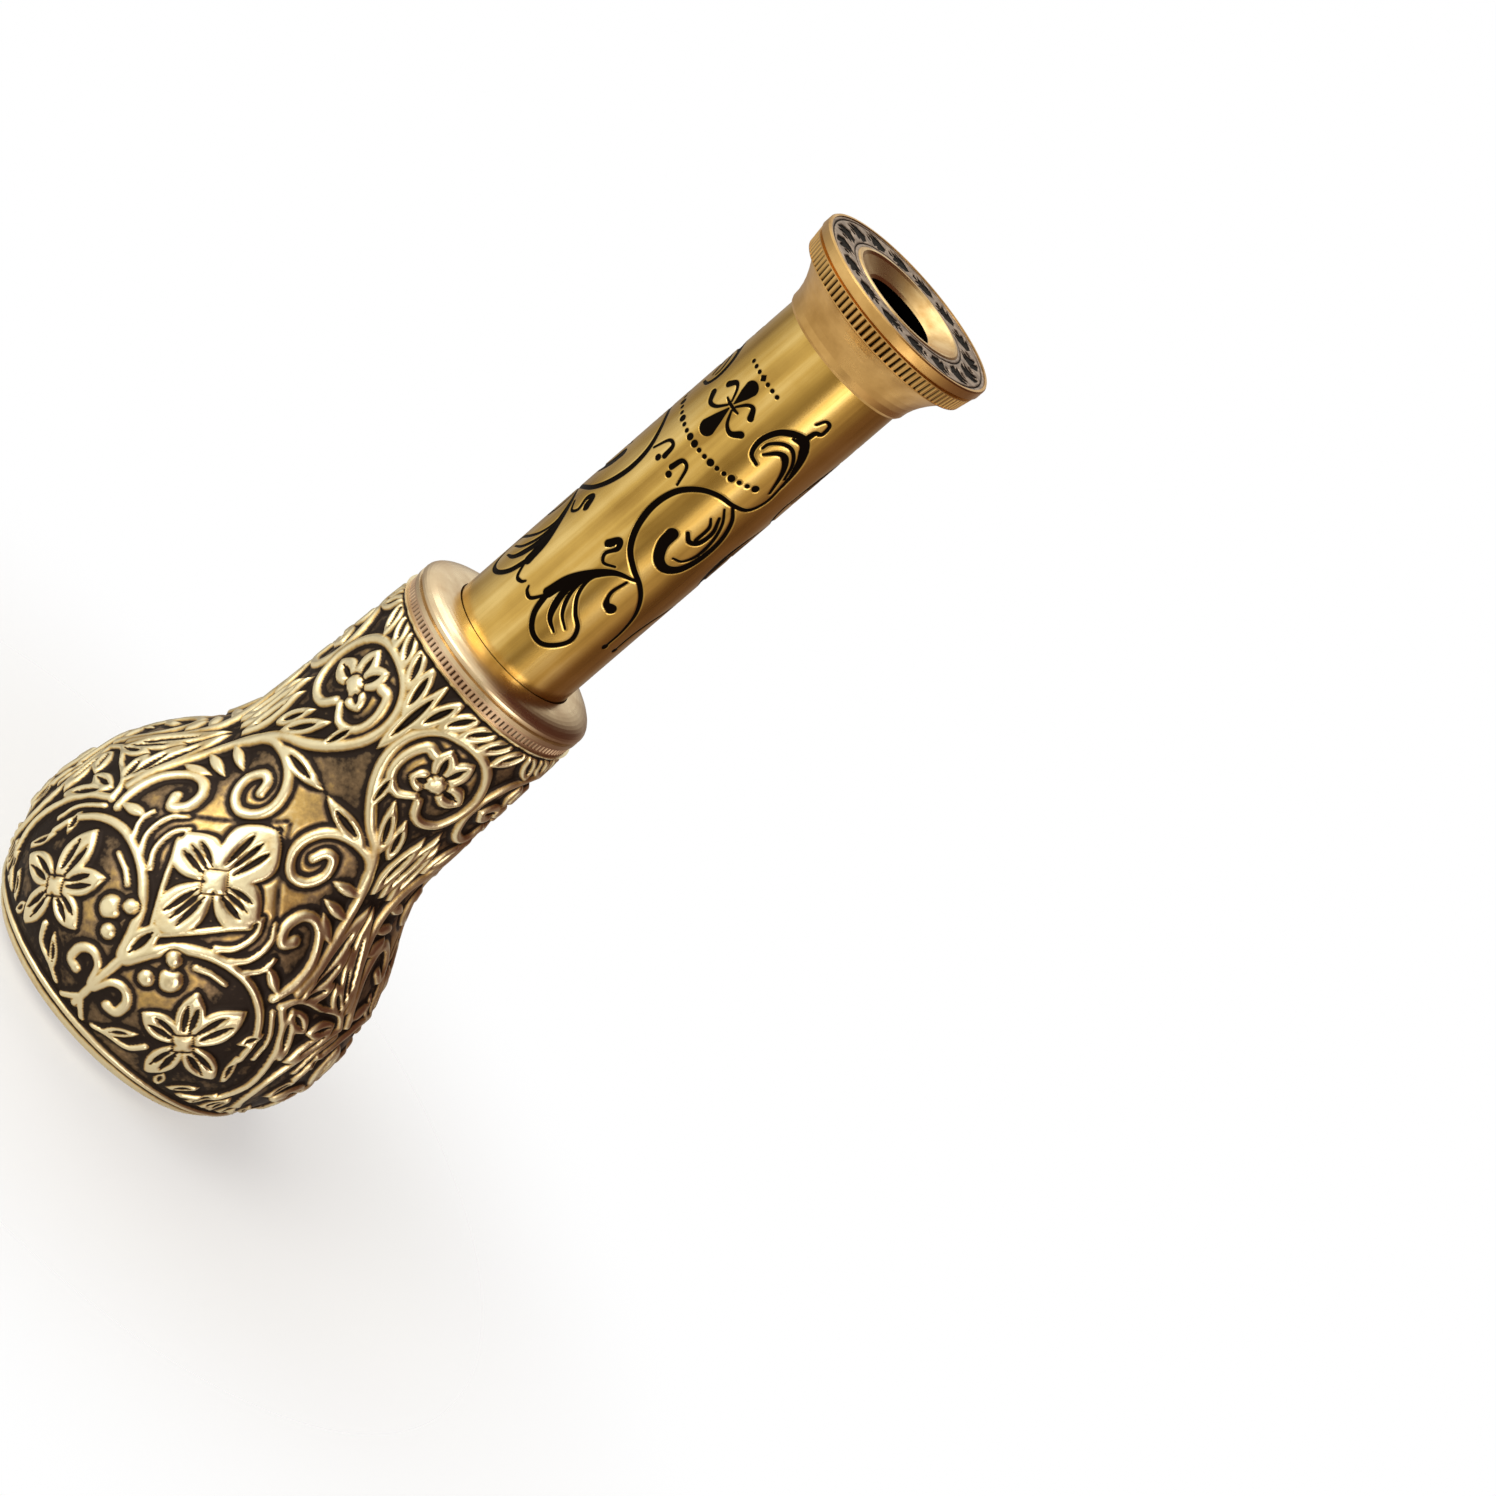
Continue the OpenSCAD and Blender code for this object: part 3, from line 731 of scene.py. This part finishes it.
def make_casting():
    """The carved casting, as a bulb and a neck so that each has its full detail."""
    low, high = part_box("body_casting")
    margin = 0.01 * MM
    heights, radii = casting_outline(low.z + margin, high.z - margin)
    slopes = np.hypot(1, np.gradient(radii, heights))
    relief = around(casting_relief(heights / MM - DATUM, radii / MM, slopes))
    cavity = np.clip(0.5 + (relief - soften(relief, CAVITY_PASSES)) * CAVITY_GAIN, 0, 1)
    hand = soften(np.random.default_rng(HAND_SEED).normal(0, 1, relief.shape), HAND_PASSES)
    hand = hand / np.abs(hand).max()
    sunk = 1 - soften(relief, RELIEF_PASSES) + HAND_DEPTH * hand * (relief < HAND_BELOW)
    outer = radii[:, None] - RELIEF_DEPTH * MM * np.clip(sunk, 0, 1)
    half = CAST_ROWS // 2
    parts = [("relief_bulb", slice(0, half + 1)), ("relief_neck", slice(half, CAST_ROWS))]
    insides = [casting_inside(heights[rows][0], heights[rows][-1]) for _, rows in parts]
    for (name, rows), (inner_heights, inner) in zip(parts, insides):
        make_casting_piece(name, heights[rows], outer[rows], inner_heights, inner,
                           relief[rows], cavity[rows])


make_casting()

# ---- Draw tube ------------------------------------------------------------------------------

ENGRAVING_TURN = -29.5      # degrees from the -Y side to the engraving's mirror line
ENGRAVING_LOW, ENGRAVING_HIGH = 84.0, 137.0
ENGRAVING_DEPTH = 0.12      # mm
TUBE_COLUMNS = 132          # in each quarter
TUBE_ROWS = 178             # in each of the two pieces
TUBE_SPLIT = 110.0          # mm, where the two pieces meet


def fleuron(s):
    """Two drops point to point, and a bar between them with a curl over and under it."""
    s.ink([(0, 130.6), (0, 129.4), (0, 127.6)], 0.8, 0.6, 0.1)
    s.ink([(0, 126.6), (0, 124.6), (0, 122.8)], 0.1, 0.55, 0.9)
    s.ink([(0, 127.1), (4, 127.1), (8, 127.2)], 0.18, 0.18, 0.12)
    s.ink([(3, 127.5), (8, 128.9), (13, 129.3), (17.5, 128.2)], 0.12, 0.2, 0.34)
    s.ink([(3, 126.7), (9, 125.2), (16, 124.8), (22, 125.8)], 0.12, 0.22, 0.36)


def upper_hook(s):
    """The hooked leaf at the top, its veins, and the tendril on it."""
    s.ink([(76, 124.5), (73, 127.5), (67, 130), (58, 131.6), (48, 131.2), (39, 129.8),
           (34.6, 127.4), (37.5, 125.3), (46, 124.7)], 0.2, 0.36, 0.18)
    s.ink([(50, 130.6), (60, 130.9), (68, 129.2), (75, 126)], 0.12, 0.5, 0.2)
    s.ink([(72, 125.6), (66, 128), (57, 129.4), (48, 129.2), (41, 127.9), (40, 126.8)],
          0.14, 0.22, 0.14)
    s.ink([(44, 126.3), (51, 127.8), (58, 127.9), (66, 126.2), (73, 122.8)], 0.14, 0.36, 0.14)
    s.ink([(53.5, 134.2), (57, 135.4), (62, 135.2), (63, 133.7), (58.5, 133.2), (57, 131.6)],
          0.15, 0.2, 0.3)


def main_scroll(s):
    """The stem that winds down the tube, and the scroll in its bend."""
    s.ink([(76, 124.5), (77.5, 121.5), (72, 119.2), (60, 118.4), (45, 118), (32, 116.6),
           (22, 114), (19, 110.5), (23, 107), (32, 104.3), (45, 102.7), (58, 101.6), (69, 100),
           (78, 97.6), (82.5, 94.6), (83, 91.6)], 0.16, 0.34, 0.16)
    s.ink([(60, 118.2), (70, 116.4), (77, 113.4), (78, 110), (73, 107), (63, 105.6), (53, 106),
           (46, 107.8), (44.5, 109.8)], 0.15, 0.42, 0.62)
    s.ink([(57, 117.2), (66, 115.3), (72, 112.6), (73, 109.8), (68, 107.9), (60, 107.4)],
          0.12, 0.22, 0.12)
    s.ink([(60, 115.8), (66, 113.6), (65, 111.4), (58.5, 110.6), (52, 111.4)], 0.15, 0.3, 0.2)
    s.ink([(61, 111.4), (60.5, 113.8), (55.5, 115)], 0.2, 0.18, 0.12)


def lower_scroll(s):
    """The curled leaf at the bottom, its veins, and the tendrils beside it."""
    s.ink([(54, 101.6), (40, 100.6), (30, 98.6), (20, 95.2), (16.5, 91.6)], 0.14, 0.42, 0.5)
    s.ink([(16.5, 91.6), (21, 88.5), (30, 86.6), (41, 86.2), (50, 87.3), (56, 89.3), (52, 91.3),
           (42, 92.6), (33, 94.5), (29.5, 97), (33, 99.3)], 0.3, 0.24, 0.16)
    s.ink([(23.5, 97), (24.5, 93), (31, 89.8), (42, 88.6)], 0.3, 0.36, 0.12)
    s.ink([(27, 98.4), (28, 94.2), (35, 91.4), (46, 90)], 0.12, 0.22, 0.12)
    s.ink([(50, 100.6), (48, 98.2), (52, 96.6), (58, 96.4)], 0.15, 0.2, 0.55)
    s.ink([(19, 102.4), (22.5, 103.8), (26, 102.9), (22.5, 101.2), (27, 100.2), (35, 101)],
          0.45, 0.2, 0.14)
    s.ink([(17, 91.2), (11, 89.2), (5, 89.3), (2.5, 89.9)], 0.14, 0.22, 0.12)


def small_ornament(s):
    """The dots, and an arch over one of them.

    A chain of dots runs under the fleuron, a lozenge stands among dots above it, and a dot ends
    the long stem.
    """
    s.ink([(19, 114.8), (14, 117.2), (7.5, 117.3), (5.5, 115.6)], 0.14, 0.2, 0.3)
    s.dot((8.5, 114.7), 0.5)
    for i in range(10):
        s.dot((3.5 + 6.4 * i, 120 + 0.026 * i ** 2), 0.36 if i % 3 else 0.55)
    s.dot((0, 132.8), 0.6, square=True)
    for angle in (6.5, 12.5, 18.5):
        s.dot((angle, 132.8), 0.34)
    s.dot((83, 91.4), 0.5)


def engraved_depth(ink, deepest):
    """How deep in metres the ink is cut, up to deepest mm. The sides slope from ink 0.4 to 0.7."""
    return deepest * MM * np.clip((ink - 0.4) / 0.3, 0, 1)


def tube_engraving(heights, radius):
    """The ink over all of the tube's sides, from one quarter that is mirrored and repeated."""
    degrees = np.linspace(0, 90, TUBE_COLUMNS + 1)
    height, angle = np.meshgrid(heights, degrees, indexing="ij")
    s = Sheet(angle, height, np.full(angle.shape, radius * math.pi / 180), np.ones(angle.shape))
    for part in (fleuron, upper_hook, main_scroll, lower_scroll, small_ornament):
        part(s)
    half = np.concatenate([s.field[:, :-1], s.field[:, :0:-1]], 1)
    full = np.tile(half, (1, 2))
    return np.roll(full, round(ENGRAVING_TURN / 360 * full.shape[1]), axis=1)


def make_tube_piece(name, low, high, engraved_low, engraved_high, inner, outer):
    """A closed ring of the tube between low and high, engraved between the other two heights."""
    dense = np.linspace(engraved_low, engraved_high, TUBE_ROWS)
    heights = np.unique(np.concatenate([[low], dense, [high]]))
    ink = tube_engraving(heights / MM - DATUM, outer / MM)
    ink[(heights < engraved_low) | (heights > engraved_high)] = 0
    cut = engraved_depth(ink, ENGRAVING_DEPTH)
    columns = ink.shape[1]
    radius = np.vstack([outer - cut, np.full((2, columns), inner)])
    height = np.vstack([np.repeat(heights[:, None], columns, 1),
                        np.full((1, columns), high), np.full((1, columns), low)])
    tube = turned_mesh(name, radius, height, {"ink": np.vstack([ink, np.zeros((2, columns))])})
    finish_piece(tube, "draw_tube", "draw", "tube_brass")


def make_tube():
    low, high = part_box("draw_tube")
    inner = radius_at("draw_tube", (low.z + high.z) / 2, inside=True)
    bottom, split, top = ((height + DATUM) * MM
                          for height in (ENGRAVING_LOW, TUBE_SPLIT, ENGRAVING_HIGH))
    make_tube_piece("engraved_tube_low", low.z, split, bottom, split, inner, high.x)
    make_tube_piece("engraved_tube_high", split, high.z, split, top, inner, high.x)


make_tube()

# ---- Face plate -----------------------------------------------------------------------------

PLATE_ROWS = 30
PLATE_COLUMNS = 560
PLATE_SPRAYS = 16           # leaf sprays in the ring of ornament
PLATE_DEPTH = 0.2           # mm
CIRCLE_INSETS = (0.55, 0.5)     # mm of the engraved circles from the inner and the outer edge
CIRCLE_HALF_WIDTH = 0.12        # mm


def make_face_plate():
    """A flat ring with a wreath of leaf pairs and dots between two engraved circles."""
    low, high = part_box("face_plate")
    inner = radius_at("face_plate", (low.z + high.z) / 2, inside=True)
    radii = np.linspace(inner, high.x, PLATE_ROWS)
    degrees = np.arange(PLATE_COLUMNS) * 360 / PLATE_COLUMNS
    radius, angle = np.meshgrid(radii / MM, degrees, indexing="ij")
    pitch = 360 / PLATE_SPRAYS
    folded = (angle + pitch / 2) % pitch - pitch / 2
    s = Sheet(folded, radius, radius * math.pi / 180, np.ones(radius.shape))
    middle = (inner + high.x) / 2 / MM
    s.ink([(-8, middle), (0, middle), (6, middle)], 0.12, 0.16, 0.12)
    for side in (-1, 1):
        s.ink([(-7, middle), (-2, middle + 0.7 * side), (4, middle + 1.5 * side)],
              0.16, 0.5, 0.12)
        s.ink([(1, middle + 0.3 * side), (5, middle + 0.6 * side), (8, middle + 1.2 * side)],
              0.14, 0.34, 0.1)
    s.dot((9.6, middle), 0.5)
    for circle in (inner / MM + CIRCLE_INSETS[0], high.x / MM - CIRCLE_INSETS[1]):
        s.fill(CIRCLE_HALF_WIDTH - np.abs(radius - circle))
    cut = engraved_depth(s.field, PLATE_DEPTH)
    rows = np.vstack([radius * MM, radius[[-1, 0]] * MM])
    tops = np.vstack([high.z - cut, np.full((2, PLATE_COLUMNS), low.z)])
    plate = turned_mesh("ornament_plate", rows[::-1], tops[::-1],
                        {"ink": np.vstack([s.field, np.zeros((2, PLATE_COLUMNS))])[::-1]})
    finish_piece(plate, "face_plate", "cap", "dark_brass")


make_face_plate()

# ---- CAD pieces that keep their shape -------------------------------------------------------

SLOT_OF = {entry["node"]: entry["material_slot"] for entry in frame["record"]["subparts"]}
WARM, WARM_DARK = (0.80, 0.52, 0.20), (0.52, 0.31, 0.10)
ROSE, ROSE_DARK = (0.78, 0.58, 0.40), (0.48, 0.31, 0.20)
COLLAR, COLLAR_DARK = (0.82, 0.68, 0.46), (0.60, 0.45, 0.28)
CUP = (0.88, 0.68, 0.36)
BEZEL_DARK = (0.25, 0.14, 0.07)
GRIP_BELOW_TOP = (4.15, 2.1)        # mm: the cap's knurled band, from the cap's top
GRIP_RADII = (14.62, 14.97)         # mm, at the band's lower and upper edge


def node_materials():
    """Finishes for nodes that differ from the rest of their slot."""
    cap_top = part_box("eyepiece_cap")[1].z
    ring_low, ring_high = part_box("milled_ring")
    cup_low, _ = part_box("eye_cup")
    pupil = radius_at("eye_cup", cup_low.z + 0.5 * MM, inside=True)
    grip = (*(cap_top - below * MM for below in GRIP_BELOW_TOP),
            *(radius * MM for radius in GRIP_RADII))
    milled = (ring_low.z, ring_high.z, ring_high.x, ring_high.x)
    return {
        # The cap's grip and the milled ring get painted shade in their knurled grooves.
        "eyepiece_cap": turned_brass("cap_brass", WARM, WARM_DARK, 0.27, groove_shade=grip),
        "eye_cup": turned_brass("cup_brass", CUP, WARM_DARK, 0.24,
                                black_bore=pupil + 0.06 * MM),
        "milled_ring": turned_brass("ring_brass", ROSE, ROSE_DARK, 0.30, groove_shade=milled),
        "neck_collar": turned_brass("collar_brass", COLLAR, COLLAR_DARK, 0.24),
        "objective_bezel": turned_brass("bezel_brass", ROSE_DARK, BEZEL_DARK, 0.34),
    }


def dress_cad_nodes():
    special = node_materials()
    for name, shape in frame["nodes"].items():
        shape.data.materials.clear()
        shape.data.materials.append(special.get(name, MATERIALS[SLOT_OF[name]]))


dress_cad_nodes()

# ---- Floor and light ------------------------------------------------------------------------

FLOOR_HALF = 0.6                    # m
FLOOR_DROP = 0.0002                 # m under the bezel's face
FLOOR_FADE = (0.03, 0.12)           # m from the axis, where the floor starts and ends to fade
FLOOR_ALPHA = 0.5
LIT_POINT = Vector((0, 0, 0.07))    # what the lights face
FLOOR_GLOW = (0.66, 0.58, 0.47)     # what the brass reflects from far below


def make_floor():
    """A pale floor at the telescope's foot that fades out into the white surroundings."""
    corners = [(-1, -1), (1, -1), (1, 1), (-1, 1)]
    mesh = bpy.data.meshes.new("floor")
    mesh.from_pydata([(FLOOR_HALF * x, FLOOR_HALF * y, 0) for x, y in corners], [], [(0, 1, 2, 3)])
    floor = bpy.data.objects.new("floor", mesh)
    bpy.context.scene.collection.objects.link(floor)
    floor.location.z = -FLOOR_DROP
    material, n, shader, place = new_material("floor", 0, 0.9)
    shader.inputs["Base Color"].default_value = (0.92, 0.94, 0.98, 1)
    distance = n.add("ShaderNodeVectorMath", operation="LENGTH")
    n.link(place, distance.inputs[0])
    fade = n.span(distance.outputs["Value"], *FLOOR_FADE, FLOOR_ALPHA, 0)
    fade.node.interpolation_type = "SMOOTHSTEP"
    n.link(fade, shader.inputs["Alpha"])
    mesh.materials.append(material)


def make_light(name, place, size, power, colour):
    data = bpy.data.lights.new(name, "AREA")
    data.shape = "DISK"
    data.size = size
    data.energy = power
    data.color = colour
    light = bpy.data.objects.new(name, data)
    light.location = place
    light.rotation_euler = (LIT_POINT - Vector(place)).to_track_quat("-Z", "Y").to_euler()
    bpy.context.scene.collection.objects.link(light)


def make_world():
    """White to the eye. What the brass reflects changes with the direction round the telescope."""
    world = bpy.data.worlds.new("studio")
    bpy.context.scene.world = world
    world.use_nodes = True
    n = Nodes(world.node_tree)
    world.node_tree.nodes.clear()
    split = n.add("ShaderNodeSeparateXYZ")
    n.link(n.add("ShaderNodeTexCoord").outputs["Generated"], split.inputs[0])
    turn = n.math("ARCTAN2", split.outputs["X"], n.math("MULTIPLY", split.outputs["Y"], -1.0))
    bearing = n.span(turn, -math.pi, math.pi, 0, 1)
    # From behind, by the left, the front and the right, to behind again.
    level = n.ramp(bearing, [
        (0.0, (0.42, 0.37, 0.33)), (0.17, (0.44, 0.40, 0.35)), (0.28, (0.92, 0.88, 0.80)),
        (0.44, (0.98, 0.92, 0.80)), (0.51, (0.62, 0.54, 0.40)), (0.55, (0.22, 0.16, 0.09)),
        (0.60, (0.56, 0.48, 0.38)), (0.70, (0.62, 0.49, 0.38)), (0.76, (0.20, 0.11, 0.08)),
        (0.88, (0.20, 0.12, 0.09)), (1.0, (0.42, 0.37, 0.33))])
    overhead = n.ramp(bearing, [
        (0.0, (0.98, 0.93, 0.83)), (0.50, (1.0, 0.95, 0.84)), (0.60, (0.34, 0.20, 0.13)),
        (0.70, (0.10, 0.03, 0.02)), (0.93, (0.07, 0.02, 0.012)), (1.0, (0.9, 0.84, 0.72))])
    up = n.span(split.outputs["Z"], 0.02, 0.30, 0, 1)
    down = n.span(split.outputs["Z"], -0.42, -0.62, 0, 1)
    seen = n.mix(up, level, overhead)
    seen = n.mix(down, seen, FLOOR_GLOW)
    colour = n.mix(n.add("ShaderNodeLightPath").outputs["Is Camera Ray"], seen, (1.0, 1.0, 1.0))
    background = n.add("ShaderNodeBackground")
    n.link(colour, background.inputs["Color"])
    output = n.add("ShaderNodeOutputWorld")
    n.link(background.outputs[0], output.inputs["Surface"])


make_floor()
make_world()
make_light("key", (-0.60, -0.55, 0.60), 0.80, 4, (1.0, 0.97, 0.90))
make_light("fill", (0.55, -0.70, 0.15), 0.60, 2.2, (1.0, 0.95, 0.88))
make_light("top", (-0.30, 0.30, 0.75), 0.50, 0.8, (1.0, 0.98, 0.92))
